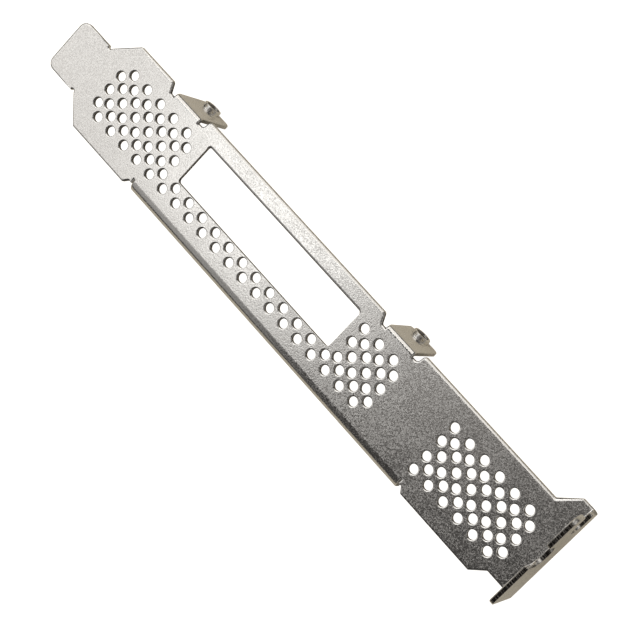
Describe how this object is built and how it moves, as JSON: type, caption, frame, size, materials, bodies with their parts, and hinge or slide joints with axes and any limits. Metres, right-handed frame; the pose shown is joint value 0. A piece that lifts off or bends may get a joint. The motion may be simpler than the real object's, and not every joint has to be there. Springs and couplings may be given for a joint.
{
  "type": "full height expansion slot bracket",
  "caption": "Folded steel slot bracket with vent holes, a connector window, screw flange, tongue, stiffening lip and card tabs with extruded threaded holes.",
  "frame": {"origin": "on the flange's seating face, on the middle line of the vent holes and at the level of the screw slot's axis", "axes": "+X along the plate from the tongue to the flange, +Y towards the edge with the card tabs, +Z out of the front face"},
  "size_m": [0.1201, 0.0216, 0.0219],
  "materials": {
    "nickel_plated_steel": "satin nickel plating over rolled steel, with sheared edges"
  },
  "bodies": {
    "root": {"bracket": "nickel_plated_steel"}
  },
  "joints": []
}
